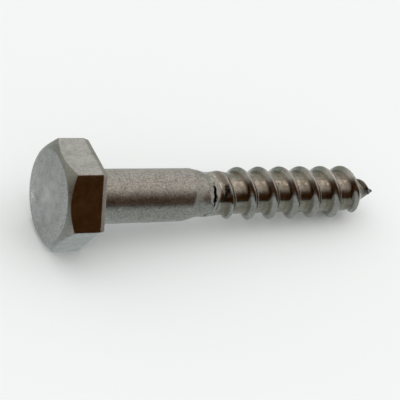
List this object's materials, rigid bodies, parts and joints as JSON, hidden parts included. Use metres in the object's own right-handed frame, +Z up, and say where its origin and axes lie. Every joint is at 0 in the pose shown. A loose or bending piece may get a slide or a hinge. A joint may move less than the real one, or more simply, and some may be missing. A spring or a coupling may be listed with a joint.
{
  "type": "lag screw",
  "caption": "Hexagon-head lag screw with a plain shank, a reduced neck and a coarse right-hand wood thread that runs out on a sharp point, lying on its side.",
  "frame": {"origin": "centre of the screw's footprint, on the surface it lies on", "axes": "+X runs along the screw from the head to the point, +Z is up. The axis slopes down towards the point by 3.8 degrees, as the screw comes to rest on one head flat's lower rim and one crest near the point."},
  "size_m": [0.0672, 0.0196, 0.0174],
  "materials": {
    "plain_steel": "dull, fine-grained cold-formed surface"
  },
  "bodies": {
    "root": {"lag_screw": "plain_steel"}
  },
  "joints": []
}
